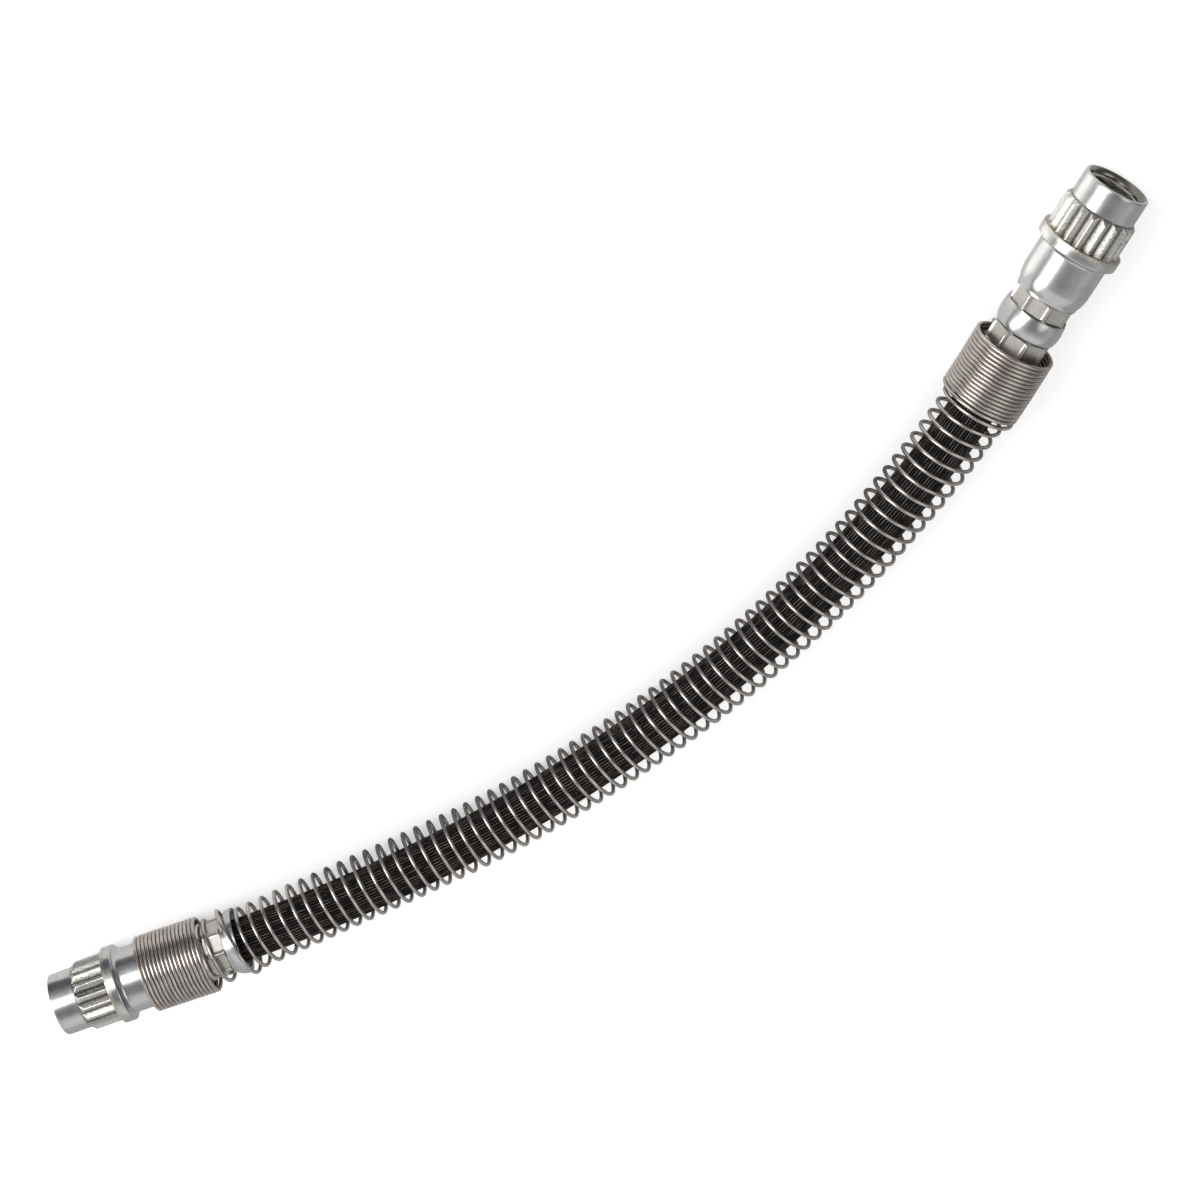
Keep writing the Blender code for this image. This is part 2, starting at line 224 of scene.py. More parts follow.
class Wire:
    """An output socket on which plain arithmetic adds Math nodes."""

    def __init__(self, maker, socket):
        self.maker = maker
        self.socket = socket

    def __add__(self, other):
        return self.maker.math("ADD", self, other)

    def __radd__(self, other):
        return self.maker.math("ADD", other, self)

    def __sub__(self, other):
        return self.maker.math("SUBTRACT", self, other)

    def __rsub__(self, other):
        return self.maker.math("SUBTRACT", other, self)

    def __mul__(self, other):
        return self.maker.math("MULTIPLY", self, other)

    def __rmul__(self, other):
        return self.maker.math("MULTIPLY", other, self)

    def __truediv__(self, other):
        return self.maker.math("DIVIDE", self, other)

    def __gt__(self, other):
        return self.maker.math("GREATER_THAN", self, other)

    def __lt__(self, other):
        return self.maker.math("LESS_THAN", self, other)

    def least(self, other):
        return self.maker.math("MINIMUM", self, other)

    def most(self, other):
        return self.maker.math("MAXIMUM", self, other)


class Maker:
    """Adds nodes to one tree."""

    def __init__(self, tree):
        self.tree = tree

    def node(self, kind, settings=None, values=None):
        """Adds a node: its settings first, then the values or links of its sockets."""
        made = self.tree.nodes.new(kind)
        for name, value in (settings or {}).items():
            setattr(made, name, value)
        for key, value in (values or {}).items():
            self.feed(self.find(made.inputs, key), value)
        return made

    def find(self, sockets, key):
        if isinstance(key, int):
            return sockets[key]
        for socket in sockets:
            if socket.identifier == key:
                return socket
        return sockets[key]

    def feed(self, socket, value):
        if isinstance(value, Wire):
            self.tree.links.new(value.socket, socket)
        else:
            socket.default_value = value

    def out(self, node, key=0):
        return Wire(self, self.find(node.outputs, key))

    def math(self, operation, first, second=0.0, clamp=False):
        settings = {"operation": operation, "use_clamp": clamp}
        return self.out(self.node("ShaderNodeMath", settings, {0: first, 1: second}))

    def clamp(self, value):
        return self.math("ADD", value, 0.0, True)

    def ramp(self, value, low, high):
        """Rises smoothly from 0 at low to 1 at high."""
        settings = {"interpolation_type": "SMOOTHSTEP", "clamp": True}
        values = {"Value": value, "From Min": low, "From Max": high}
        return self.out(self.node("ShaderNodeMapRange", settings, values))

    def split(self, vector):
        node = self.node("ShaderNodeSeparateXYZ", None, {0: vector})
        return [self.out(node, k) for k in range(3)]

    def join(self, x, y, z):
        return self.out(self.node("ShaderNodeCombineXYZ", None, {0: x, 1: y, 2: z}))

    def mix(self, factor, first, second):
        values = {"Factor_Float": factor, "A_Color": first, "B_Color": second}
        return self.out(
            self.node("ShaderNodeMix", {"data_type": "RGBA"}, values), "Result_Color"
        )


class TreeMaker(Maker):
    """Adds nodes to a new Geometry Nodes tree with named inputs."""

    kinds = {"size": "NodeSocketFloat", "number": "NodeSocketInt", "material": "NodeSocketMaterial"}

    def __init__(self, name, **inputs):
        super().__init__(bpy.data.node_groups.new(name, "GeometryNodeTree"))
        face = self.tree.interface
        face.new_socket("Geometry", in_out="INPUT", socket_type="NodeSocketGeometry")
        face.new_socket("Geometry", in_out="OUTPUT", socket_type="NodeSocketGeometry")
        for key, kind in inputs.items():
            title = key.replace("_", " ").title()
            face.new_socket(title, in_out="INPUT", socket_type=self.kinds[kind])
        self.start = self.node("NodeGroupInput")

    def given(self, key):
        return self.out(self.start, key.replace("_", " ").title())

    def moved(self, key, vector):
        """The given geometry with its points set to a Position or moved by an Offset."""
        values = {"Geometry": self.given("geometry"), key: vector}
        return self.out(self.node("GeometryNodeSetPosition", None, values))

    def store(self, geometry, name, value, kind="FLOAT"):
        settings = {"data_type": kind, "domain": "POINT"}
        values = {"Geometry": geometry, "Name": name, "Value": value}
        return self.out(self.node("GeometryNodeStoreNamedAttribute", settings, values))

    def stored(self, name):
        node = self.node("GeometryNodeInputNamedAttribute", {"data_type": "FLOAT"}, {"Name": name})
        return self.out(node, "Attribute")

    def end(self, geometry):
        """Closes the tree with Realize Instances and Set Material."""
        whole = self.out(self.node("GeometryNodeRealizeInstances", None, {"Geometry": geometry}))
        values = {"Geometry": whole, "Material": self.given("material")}
        dressed = self.out(self.node("GeometryNodeSetMaterial", None, values))
        self.node("NodeGroupOutput", None, {"Geometry": dressed})
        return self.tree


class PaintMaker(Maker):
    """Adds nodes to a new material's tree."""

    def __init__(self, name):
        self.material = bpy.data.materials.new(name)
        self.material.use_nodes = True
        super().__init__(self.material.node_tree)
        self.shader = self.tree.nodes["Principled BSDF"]

    def place(self):
        """The place on the straight, unturned piece, in millimetres."""
        settings = {"attribute_name": "straight_place"}
        stored = self.out(self.node("ShaderNodeAttribute", settings), "Vector")
        settings = {"operation": "SCALE"}
        return self.out(
            self.node("ShaderNodeVectorMath", settings, {"Vector": stored, "Scale": 1000.0})
        )

    def noise(self, vector, scale, detail=3.0, roughness=0.55, squeeze=(1, 1, 1)):
        if squeeze != (1, 1, 1):
            settings = {"operation": "MULTIPLY"}
            values = {0: vector, 1: squeeze}
            vector = self.out(self.node("ShaderNodeVectorMath", settings, values))
        values = {"Vector": vector, "Scale": scale, "Detail": detail, "Roughness": roughness}
        return self.out(self.node("ShaderNodeTexNoise", None, values), "Fac")

    def bump(self, height, strength, distance=0.0001, normal=None):
        values = {"Strength": strength, "Distance": distance, "Height": height}
        if normal:
            values["Normal"] = normal
        return self.out(self.node("ShaderNodeBump", None, values))

    def finish(self, specular=0.5, **sockets):
        self.shader.inputs["Specular IOR Level"].default_value = specular
        for name, value in sockets.items():
            self.feed(self.shader.inputs[name.replace("_", " ").title()], value)
        return self.material


def rgba(shade, level=1.0):
    return (*[channel * level for channel in shade], 1.0)


def smooth_through(stations, places):
    """Values of a smooth curve through (place, value) stations that never overshoots them."""
    x, y = np.array(stations, float).T
    step = np.diff(x)
    slope = np.diff(y) / step
    tangent = np.zeros(len(x))
    for i in range(1, len(x) - 1):
        if slope[i - 1] * slope[i] > 0:
            before, after = step[i - 1] + 2 * step[i], 2 * step[i - 1] + step[i]
            tangent[i] = (before + after) / (before / slope[i] + after / slope[i - 1])
    tangent[0], tangent[-1] = slope[0], slope[-1]
    places = np.asarray(places, float)
    i = np.clip(np.searchsorted(x, places) - 1, 0, len(x) - 2)
    t = (places - x[i]) / step[i]
    return (
        y[i] * (1 + 2 * t) * (1 - t) ** 2
        + y[i + 1] * t * t * (3 - 2 * t)
        + step[i] * (tangent[i] * t * (1 - t) ** 2 - tangent[i + 1] * t * t * (1 - t))
    )


class Run:
    """The centreline, measured by its length from the left nose rim."""

    def __init__(self, settings):
        sizes, fitting, spring = settings.run, settings.fitting, settings.spring
        half = sizes.lip_span / 2
        middle = np.array(bell_middle) + [0, 0, fitting.flange_diameter / 2]
        left_lip, right_lip = middle - [half, 0, 0], middle + [half, 0, 0]
        left, right = sizes.left_turn, sizes.right_turn
        self.fitting_length = fitting.length
        self.left_axis = np.array([math.cos(left), -math.sin(left), 0.0])
        self.right_axis = np.array([math.cos(right), math.sin(right), 0.0])
        self.left_nose = left_lip - fitting.length * self.left_axis
        self.right_nose = right_lip + fitting.length * self.right_axis
        t = np.linspace(0, 1, 1500)[:, None]
        leave = left_lip + sizes.left_reach * self.left_axis
        arrive = right_lip - sizes.right_reach * self.right_axis
        bend = left_lip * (1 - t) ** 3 + leave * 3 * t * (1 - t) ** 2
        bend += arrive * 3 * t * t * (1 - t) + right_lip * t**3
        # the middle comes down until its narrower open coils are as low as the flanges
        drop = (fitting.flange_diameter - spring.open_diameter - spring.wire) / 2
        bend[:, 2] -= drop * np.sin(math.pi * t[:, 0]) ** 2
        self.points = np.vstack([self.left_nose, bend, self.right_nose])
        pieces = np.linalg.norm(np.diff(self.points, axis=0), axis=1)
        self.places = np.concatenate([[0], np.cumsum(pieces)])
        self.length = self.places[-1]

    def at(self, place):
        return np.array([np.interp(place, self.places, self.points[:, k]) for k in range(3)])

    def frame(self, place, shift=None):
        """Point, direction, sideways direction (out of the bend) and up direction at a place."""
        ends = [max(place - 0.0005, 0.0), min(place + 0.0005, self.length)]
        ends = [self.at(end) + (shift(end) if shift else 0) for end in ends]
        along = ends[1] - ends[0]
        along /= np.linalg.norm(along)
        side = np.cross(along, [0, 0, 1])
        side /= np.linalg.norm(side)
        point = self.at(place) + (shift(place) if shift else 0)
        return point, along, side, np.cross(side, along)


def settings_and_run(context):
    settings = context.scene.brake_hose
    return settings, Run(settings)


def grow(obj, tree, **given):
    """Runs a Geometry Nodes tree on an object and returns its result as a plain mesh object."""
    modifier = obj.modifiers.new(tree.name, "NODES")
    modifier.node_group = tree
    for item in tree.interface.items_tree:
        key = item.name.replace(" ", "_").lower()
        if item.item_type == "SOCKET" and item.in_out == "INPUT" and key in given:
            modifier[item.identifier] = given[key]
    obj.update_tag()
    state = bpy.context.evaluated_depsgraph_get()
    result = bpy.data.meshes.new_from_object(
        obj.evaluated_get(state), preserve_all_data_layers=True, depsgraph=state
    )
    name = obj.name
    old = obj.data
    bpy.data.objects.remove(obj, do_unlink=True)
    (bpy.data.meshes if isinstance(old, bpy.types.Mesh) else bpy.data.curves).remove(old)
    result.name = name
    return add_object(name, result)


def add_object(name, data):
    obj = bpy.data.objects.new(name, data)
    bpy.context.scene.collection.objects.link(obj)
    return obj


def store_places(mesh, places):
    """Keeps each vertex's place on the straight piece, for the material."""
    layer = mesh.attributes.new("straight_place", "FLOAT_VECTOR", "POINT")
    layer.data.foreach_set("vector", np.asarray(places, np.float32).ravel())


def store_values(mesh, name, values):
    layer = mesh.attributes.new(name, "FLOAT", "POINT")
    layer.data.foreach_set("value", np.asarray(values, np.float32))


def enlist(obj, node):
    """Makes a finished piece stand for its CAD node."""
    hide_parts(node)
    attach(obj, "root")


# End fittings


def rounded(corners, steps=5):
    """A (station, radius) outline with a small arc at each (station, radius, rounding) corner."""
    points = []
    for k, (station, radius, rounding) in enumerate(corners):
        here = np.array([station, radius])
        if rounding == 0 or k in (0, len(corners) - 1):
            points.append(here)
            continue
        before = np.array(corners[k - 1][:2]) - here
        after = np.array(corners[k + 1][:2]) - here
        cut = min(rounding, 0.45 * np.linalg.norm(before), 0.45 * np.linalg.norm(after))
        first = here + before / np.linalg.norm(before) * cut
        last = here + after / np.linalg.norm(after) * cut
        for t in np.linspace(0, 1, steps):
            points.append(first * (1 - t) ** 2 + here * 2 * t * (1 - t) + last * t * t)
    return points


def with_rings(points, longest):
    """Splits the long steps of an outline."""
    filled = [points[0]]
    for before, after in zip(points, points[1:]):
        pieces = max(1, math.ceil(np.linalg.norm(after - before) / longest))
        filled += [before + (after - before) * k / pieces for k in range(1, pieces + 1)]
    return filled


def step_up(value, low, high):
    t = min(max((value - low) / (high - low), 0.0), 1.0)
    return t * t * (3 - 2 * t)


def shell_radius(fitting, station):
    """Round outside of the crimped shell, in millimetres, without the flats."""
    body, bulge, lip = (
        fitting.body_diameter * 500,
        fitting.bulge_diameter * 500,
        fitting.lip_diameter * 500,
    )
    crimp = fitting.crimp_across * 500 + 0.8
    stations = [
        (23.0, body), (24.2, body - 0.03), (25.4, body - 0.2), (26.4, body - 0.46),
        (27.2, body - 0.75), (27.8, crimp + 0.1), (28.4, crimp), (31.1, crimp),
        (31.6, crimp + 0.05), (32.3, bulge - 0.14), (33.2, bulge - 0.04), (34.1, bulge),
        (35.0, bulge - 0.04), (35.9, bulge - 0.2), (36.6, crimp - 0.15), (37.0, crimp - 0.55),
        (37.4, crimp - 0.2), (38.0, crimp), (41.2, crimp), (41.8, crimp + 0.02),
        (42.7, lip - 0.5), (43.7, lip - 0.15), (44.5, lip), (45.5, lip),
    ]
    return float(smooth_through(stations, station))


def crimp_share(station, scallop=0.0):
    """1 where the dies have pressed flats, 0 elsewhere, at a station in millimetres."""
    first = step_up(station - scallop, 27.55, 27.75) * (1 - step_up(station + scallop, 31.35, 31.6))
    second = step_up(station - scallop, 36.95, 37.1) * (1 - step_up(station + scallop, 41.5, 41.8))
    return first + second


def crimp_radius(fitting, station, radius, angle):
    """The round shell with flats pressed in and a thin ridge left between two of them."""
    flat = 2 * math.pi / fitting.crimp_flats
    from_middle = (angle + 0.5 * flat) % flat - flat / 2
    apothem = fitting.crimp_across * 500
    to_corner = (flat / 2 - abs(from_middle)) * apothem
    face = min(radius, apothem / math.cos(from_middle))
    ridge = fitting.ridge_height * 1000 * math.exp(-((to_corner / 0.3) ** 2))
    pressed = crimp_share(station, 0.4 * (2 * from_middle / flat) ** 2)
    return radius * (1 - pressed) + min(radius, face + ridge) * pressed


def outer_outline(fitting):
    """Outside of the fitting from the nose rim to the bell mouth, in millimetres."""
    nose, crest = fitting.nose_diameter * 500, fitting.tooth_diameter * 500
    flange, body = fitting.flange_diameter * 500, fitting.body_diameter * 500
    splines, flange_start = fitting.nose_length * 1000, fitting.flange_start * 1000
    flange_end = flange_start + fitting.flange_width * 1000
    nose_part = rounded([(0, nose - 0.83, 0), (0, nose, 0.45), (splines, nose, 0)])[1:]
    cone = [np.array([splines + 0.02 + 0.14 * k, nose + 0.115 * k]) for k in range(9)]
    cone[-1][1] = crest
    tooth_end = fitting.tooth_end * 1000
    teeth = [np.array([s, crest]) for s in np.linspace(splines + 1.3, tooth_end - 0.02, 12)]
    flange_part = rounded(
        [
            (tooth_end, crest, 0), (flange_start + 0.12, crest + 0.25, 0.05),
            (flange_start + 0.02, flange - 0.3, 0.1), (flange_start + 0.05, flange, 0.4),
            (flange_end, flange, 0.6), (flange_end + 0.1, body + 0.75, 0.3),
            (flange_end + 0.7, body, 0.9), (23.0, body, 0),
        ],
        7,
    )
    # first station, last station and step of each stretch, finer at the edges of the crimps
    stretches = (
        (23.3, 27.4, 0.3), (27.5, 28.3, 0.08), (28.5, 30.9, 0.4), (31.0, 31.9, 0.08),
        (32.0, 36.4, 0.22), (36.5, 37.8, 0.08), (38.0, 40.9, 0.45), (41.1, 42.0, 0.08),
        (42.2, 44.5, 0.22),
    )
    stations = np.concatenate([np.arange(*stretch) for stretch in stretches])
    shell = [np.array([s, shell_radius(fitting, s)]) for s in stations]
    lip = fitting.lip_diameter * 500
    mouth = rounded([(44.6, lip, 0), (45.0, lip, 0.3), (45.0, lip - 1.2, 0.3), (44.6, lip - 1.2, 0)])
    points = with_rings(nose_part, 0.6) + cone + teeth + with_rings(flange_part, 0.7)
    return points + shell + mouth


def inner_outline(fitting):
    """Inside of the fitting from the bell mouth back to the port's rim, in millimetres."""
    socket, floor = fitting.socket_diameter * 500, fitting.socket_floor * 1000
    wall, web = fitting.wall * 1000, fitting.web_hole * 500
    core, mouth = fitting.thread_core * 500, fitting.port_mouth * 500
    points = []
    for station in np.arange(44.4, 24.0, -0.4):
        inside = shell_radius(fitting, station) - wall - 0.08 * crimp_share(station)
        points.append(np.array([station, inside if station > 41.4 else min(inside, socket)]))
    points += [np.array([floor, socket]), np.array([floor, web])]
    drill = fitting.port_depth * 1000
    seat = rounded(
        [
            (floor, web, 0), (drill + 1.1, web, 0.2), (drill + 0.2, web + 1.5, 0.2),
            (drill + 1.2, web + 2.1, 0.2), (drill, core, 0.2), (drill - 0.8, core, 0),
        ]
    )
    points += seat[1:]
    rings_per_pitch = 8
    rings = round((drill - 0.8) * rings_per_pitch)
    points += [np.array([s, core]) for s in np.linspace(drill - 0.9, mouth - core, rings)]
    points += [np.array([s, core + (mouth - core - s)]) for s in (0.6, 0.4, 0.2, 0.06)]
    points.append(np.array([0.0, mouth + 0.05]))
    return points


def bridged(bm, first, second):
    """Joins two rings of (angle, vertex) pairs that are equal in number."""
    for k in range(len(first)):
        after = (k + 1) % len(first)
        bm.faces.new((first[k][1], second[k][1], second[after][1], first[after][1]))


def closed_piece(bm, name):
    """Turns a finished bmesh into an object, with its faces outwards."""
    bmesh.ops.recalc_face_normals(bm, faces=bm.faces)
    mesh = bpy.data.meshes.new(name)
    bm.to_mesh(mesh)
    bm.free()
    return add_object(name, mesh)


def spun(bm, outline, angles, radius_at=None):
    """Adds the rings of an outline, in millimetres, and returns them."""
    rings = []
    for station, radius in outline:
        ring = []
        for angle in angles:
            r = radius_at(station, radius, angle) if radius_at else radius
            corner = (station, r * math.cos(angle), r * math.sin(angle))
            ring.append((angle, bm.verts.new(corner)))
        rings.append(ring)
    for first, second in zip(rings, rings[1:]):
        bridged(bm, first, second)
    return rings


def sewn(bm, first, second):
    """Joins two rings of (angle, vertex) pairs that differ in number."""
    full = 2 * math.pi
    a = first + [(first[0][0] + full, first[0][1])]
    b = second + [(second[0][0] + full, second[0][1])]
    i = j = 0
    while i < len(a) - 1 or j < len(b) - 1:
        if j == len(b) - 1 or (i < len(a) - 1 and a[i + 1][0] <= b[j + 1][0]):
            bm.faces.new((a[i][1], b[j][1], a[i + 1][1]))
            i += 1
        else:
            bm.faces.new((a[i][1], b[j][1], b[j + 1][1]))
            j += 1


def fitting_blank(name, fitting, teeth_turn, crimp_turn):
    """The turned and crimped fitting without splines or thread, along X, in metres."""

    def pressed(station, radius, angle):
        if crimp_share(station) == 0:
            return radius
        return crimp_radius(fitting, station, radius, angle - crimp_turn)

    bm = bmesh.new()
    outside_angles = np.linspace(0, 2 * math.pi, fitting.teeth * 16, endpoint=False) + teeth_turn
    inside_angles = np.linspace(0, 2 * math.pi, 96, endpoint=False)
    outside = spun(bm, outer_outline(fitting), outside_angles, pressed)
    inside = spun(bm, inner_outline(fitting), inside_angles)
    sewn(bm, outside[-1], inside[0])
    sewn(bm, inside[-1], outside[0])
    bmesh.ops.scale(bm, vec=(0.001, 0.001, 0.001), verts=bm.verts)
    return closed_piece(bm, name)


def polar(maker):
    """Station, distance from the axis and angle round it of each point, with its Y and Z."""
    place = maker.out(maker.node("GeometryNodeInputPosition"))
    x, y, z = maker.split(place)
    radius = maker.math("SQRT", y * y + z * z)
    return x, y, z, radius, maker.math("ARCTAN2", z, y)


def spline_tree():
    """Cuts straight splines into the blank: the grooves go down to the root, all round."""
    maker = TreeMaker(
        "Cut Splines",
        teeth="number", root_radius="size", crest_radius="size", crest_share="size",
        teeth_turn="size", start="size", end="size", material="material",
    )
    x, y, z, radius, angle = polar(maker)
    root, crest = maker.given("root_radius"), maker.given("crest_radius")
    turned = angle - maker.given("teeth_turn")
    wave = maker.math("PINGPONG", turned * maker.given("teeth") / math.pi, 1.0)
    climb = maker.clamp((wave - 0.03) / (0.97 - maker.given("crest_share")))
    tooth = root + (crest - root) * climb
    inside_band = (x > maker.given("start")) * (x < maker.given("end")) * (radius > root)
    cut = 1 + inside_band * (radius.least(tooth) / radius - 1)
    return maker.end(maker.moved("Position", maker.join(x, y * cut, z * cut)))


def thread_tree():
    """Cuts the port's thread: a helical groove that runs out before the bottom of the bore."""
    maker = TreeMaker(
        "Cut Thread",
        core_radius="size", depth="size", pitch="size", bore_end="size", material="material",
    )
    x, y, z, radius, angle = polar(maker)
    core, pitch = maker.given("core_radius"), maker.given("pitch")
    phase = x / pitch - angle / (2 * math.pi)
    wave = maker.math("PINGPONG", phase * 2, 1.0)
    groove = maker.ramp(wave, 0.06, 0.94)
    run_out = maker.clamp((maker.given("bore_end") - x) / pitch / 1.5)
    threaded = core + maker.given("depth") * groove * run_out
    in_bore = (x < maker.given("bore_end")) * (radius < core * 1.14)
    cut = 1 + in_bore * (radius.most(threaded) / radius - 1)
    return maker.end(maker.moved("Position", maker.join(x, y * cut, z * cut)))


def plated_steel(finish):
    """Bright zinc plate: turned rings, fine scratches, dull and grainy in the splines, with painted
    shade in the spline grooves, at the die edges and in the port.
    """
    paint = PaintMaker("plated_steel")
    place = paint.place()
    station, y, z = paint.split(place)
    radius = paint.math("SQRT", y * y + z * z)
    outside = paint.ramp(radius, 6.72, 6.8)
    splines = paint.ramp(station, 5.5, 5.9) * (1 - paint.ramp(station, 14.2, 14.8)) * outside
    crimps = paint.ramp(station, 27.4, 27.9) * (1 - paint.ramp(station, 31.2, 31.6))
    crimps = crimps + paint.ramp(station, 36.7, 37.2) * (1 - paint.ramp(station, 41.3, 41.9))
    # Painted shade: a dark line along each end of the crimp flats.
    die_edge_shade = crimps * (1 - crimps) * 4
    cloud = paint.noise(place, 0.35, 4.0)
    grain = paint.noise(place, 2.0, 5.0, 0.75)
    rings = paint.noise(place, 1.0, 4.0, 0.6, (9.0, 0.25, 0.25))
    speck = paint.noise(place, 2.2, 5.0, 0.65)
    dirt = paint.ramp(speck * 0.6 + cloud * 0.4, 0.50, 0.66)
    # deep marks the spline grooves, which get dirt and painted shade towards their roots.
    deep = 1 - paint.ramp(radius, 7.34, 7.74)
    corner = paint.ramp(station, 12.6, 13.4) * splines
    pale = splines * (0.35 + 0.65 * paint.ramp(grain, 0.35, 0.6))
    stained = paint.clamp(corner * (dirt * 0.5 + 0.3) + crimps * (dirt * 0.6 + 0.3))
    base = paint.mix(paint.ramp(cloud, 0.3, 0.7), rgba(finish.steel, 0.93), rgba(finish.steel, 1.06))
    base = paint.mix(pale, base, rgba(finish.spline))
    base = paint.mix(stained, base, rgba(finish.stain_and_port_shade))
    pits = splines * paint.ramp(grain, 0.52, 0.64)
    # Dirt in the pits, with painted shade in the grooves and along the die edges.
    dirt_and_shade_mask = splines * deep * (0.6 + 0.4 * grain) + die_edge_shade * (0.5 + 0.5 * grain) + pits * 0.6
    base = paint.mix(paint.clamp(dirt_and_shade_mask), base, rgba(finish.dirt_and_shade))
    # Painted shade: the port's bore is darkened with the dimmed stain colour.
    shaded_port = (1 - outside) * (1 - paint.ramp(station, 16.0, 17.0))
    chamfer_shade = shaded_port * (1 - paint.ramp(station, 1.0, 1.8))
    base = paint.mix(shaded_port * 0.55, base, rgba(finish.stain_and_port_shade, 0.6))
    # Painted shade: the chamfer at the port's mouth is darker still.
    base = paint.mix(chamfer_shade * 0.6, base, rgba(finish.dirt_and_shade))
    roughness = 0.2 + 0.06 * cloud + 0.04 * rings + splines * 0.04 * grain
    roughness = roughness + crimps * 0.05
    fine = paint.bump(rings, 0.06, 0.00005)
    coarse = paint.bump(grain, splines * 0.4 + crimps * 0.2 + 0.012, 0.0002, fine)
    return paint.finish(base_color=base, metallic=1.0, roughness=roughness, normal=coarse)


def make_fittings(context):
    settings, run = settings_and_run(context)
    fitting = settings.fitting
    steel = plated_steel(settings.finish)
    teeth, thread = spline_tree(), thread_tree()
    ends = {
        "left": (run.left_nose, run.left_axis),
        "right": (run.right_nose, -run.right_axis),
    }
    for end, (nose, axis) in ends.items():
        teeth_turn = getattr(fitting, f"{end}_teeth_turn")
        crimp_turn = getattr(fitting, f"{end}_crimp_turn")
        obj = grow(
            fitting_blank(f"{end}_end_fitting", fitting, teeth_turn, crimp_turn),
            teeth,
            teeth=fitting.teeth, root_radius=fitting.root_diameter / 2,
            crest_radius=fitting.tooth_diameter / 2, crest_share=fitting.tooth_crest,
            teeth_turn=teeth_turn, start=fitting.nose_length + 0.00001,
            end=fitting.tooth_end - 0.00001, material=steel,
        )
        obj = grow(
            obj,
            thread,
            core_radius=fitting.thread_core / 2, depth=fitting.thread_depth,
            pitch=fitting.thread_pitch, bore_end=fitting.port_depth - 0.0005, material=steel,
        )
        mesh = obj.data
        store_places(mesh, [vertex.co for vertex in mesh.vertices])
        heading = Matrix.Rotation(math.atan2(axis[1], axis[0]), 4, "Z")
        mesh.transform(Matrix.Translation(nose) @ heading)
        mesh.shade_smooth()
        mesh.set_sharp_from_angle(angle=math.radians(38))
        enlist(obj, f"{end}_fitting")


# Inserts


def insert_steel(finish):
    """Plain drawn tube, a little dull."""
    paint = PaintMaker("insert_tube")
    place = paint.out(paint.node("ShaderNodeTexCoord"), "Object")
    cloud = paint.noise(place, 900.0, 4.0)
    base = paint.mix(cloud, rgba(finish.insert, 0.8), rgba(finish.insert, 1.15))
    normal = paint.bump(paint.noise(place, 6000.0, 3.0), 0.15, 0.00005)
    return paint.finish(
        base_color=base, metallic=1.0, roughness=0.35 + 0.15 * cloud, normal=normal
    )


def dress_inserts(context):
    steel = insert_steel(context.scene.brake_hose.finish)
    for name in ("left_insert", "right_insert"):
        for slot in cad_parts[name].material_slots:
            slot.material = steel


# Hose


def hose_profile(settings, run):
    """Place, outer radius and bore radius along the hose, from one end to the other."""
    fitting, hose = settings.fitting, settings.hose
    outer, web = hose.diameter / 2, fitting.web_hole / 2
    rows = []
    for station in np.arange(hose.start * 1000, 45.0, 0.4):
        inside = shell_radius(fitting, max(station, 23.1)) - fitting.wall * 1000
        pressed = min(outer, (inside - 0.3) / 1000)
        rows.append((station / 1000, pressed, web if station < 42.3 else hose.bore / 2))
    free = run.length - 2 * fitting.length
    steps = round(free / 0.0016)
    middle = [
        (fitting.length + free * k / steps, outer, hose.bore / 2) for k in range(steps + 1)
    ]
    return rows + middle + [(run.length - s, r, b) for s, r, b in reversed(rows)]


def hose_tube(settings, run):
    """The smooth hose with its bore, with each point's place on the straight hose."""
    hose = settings.hose
    rows = hose_profile(settings, run)
    columns, inside_columns = hose.ribs * 4, 24
    bm = bmesh.new()
    places, ribs = [], []

    def loops(radius_of, sides, is_outside):
        made = []
        for row in rows:
            point, _, side, up = run.frame(row[0])
            radius = radius_of(row)
            loop = []
            for k in range(sides):
                angle = 2 * math.pi * k / sides - math.pi / 2
                corner = point + radius * (math.cos(angle) * side + math.sin(angle) * up)
                loop.append((2 * math.pi * k / sides, bm.verts.new(corner)))
                places.append((row[0], radius * math.cos(angle), radius * math.sin(angle)))
                ribs.append(k / 4 % 1 if is_outside else -1.0)
            made.append(loop)
        for first, second in zip(made, made[1:]):
            bridged(bm, first, second)
        return made

    outside = loops(lambda row: row[1], columns, True)
    inside = loops(lambda row: row[2], inside_columns, False)
    sewn(bm, outside[0], inside[0])
    sewn(bm, outside[-1], inside[-1])
    obj = closed_piece(bm, "rubber_hose")
    store_places(obj.data, places)
    store_values(obj.data, "rib_step", ribs)
    return obj


def rib_tree():
    """Raises fine ribs along the hose, and stores how high each point stands on its rib."""
    maker = TreeMaker("Raise Ribs", rib_height="size", material="material")
    step = maker.stored("rib_step")
    outside = step > -0.5
    crest = (1 - maker.math("PINGPONG", step * 2, 1.0)) * outside
    normal = maker.split(maker.out(maker.node("GeometryNodeInputNormal")))
    sink = (crest - 1) * outside * maker.given("rib_height")
    raised = maker.moved("Offset", maker.join(*[part * sink for part in normal]))
    return maker.end(maker.store(raised, "rib_crest", crest))


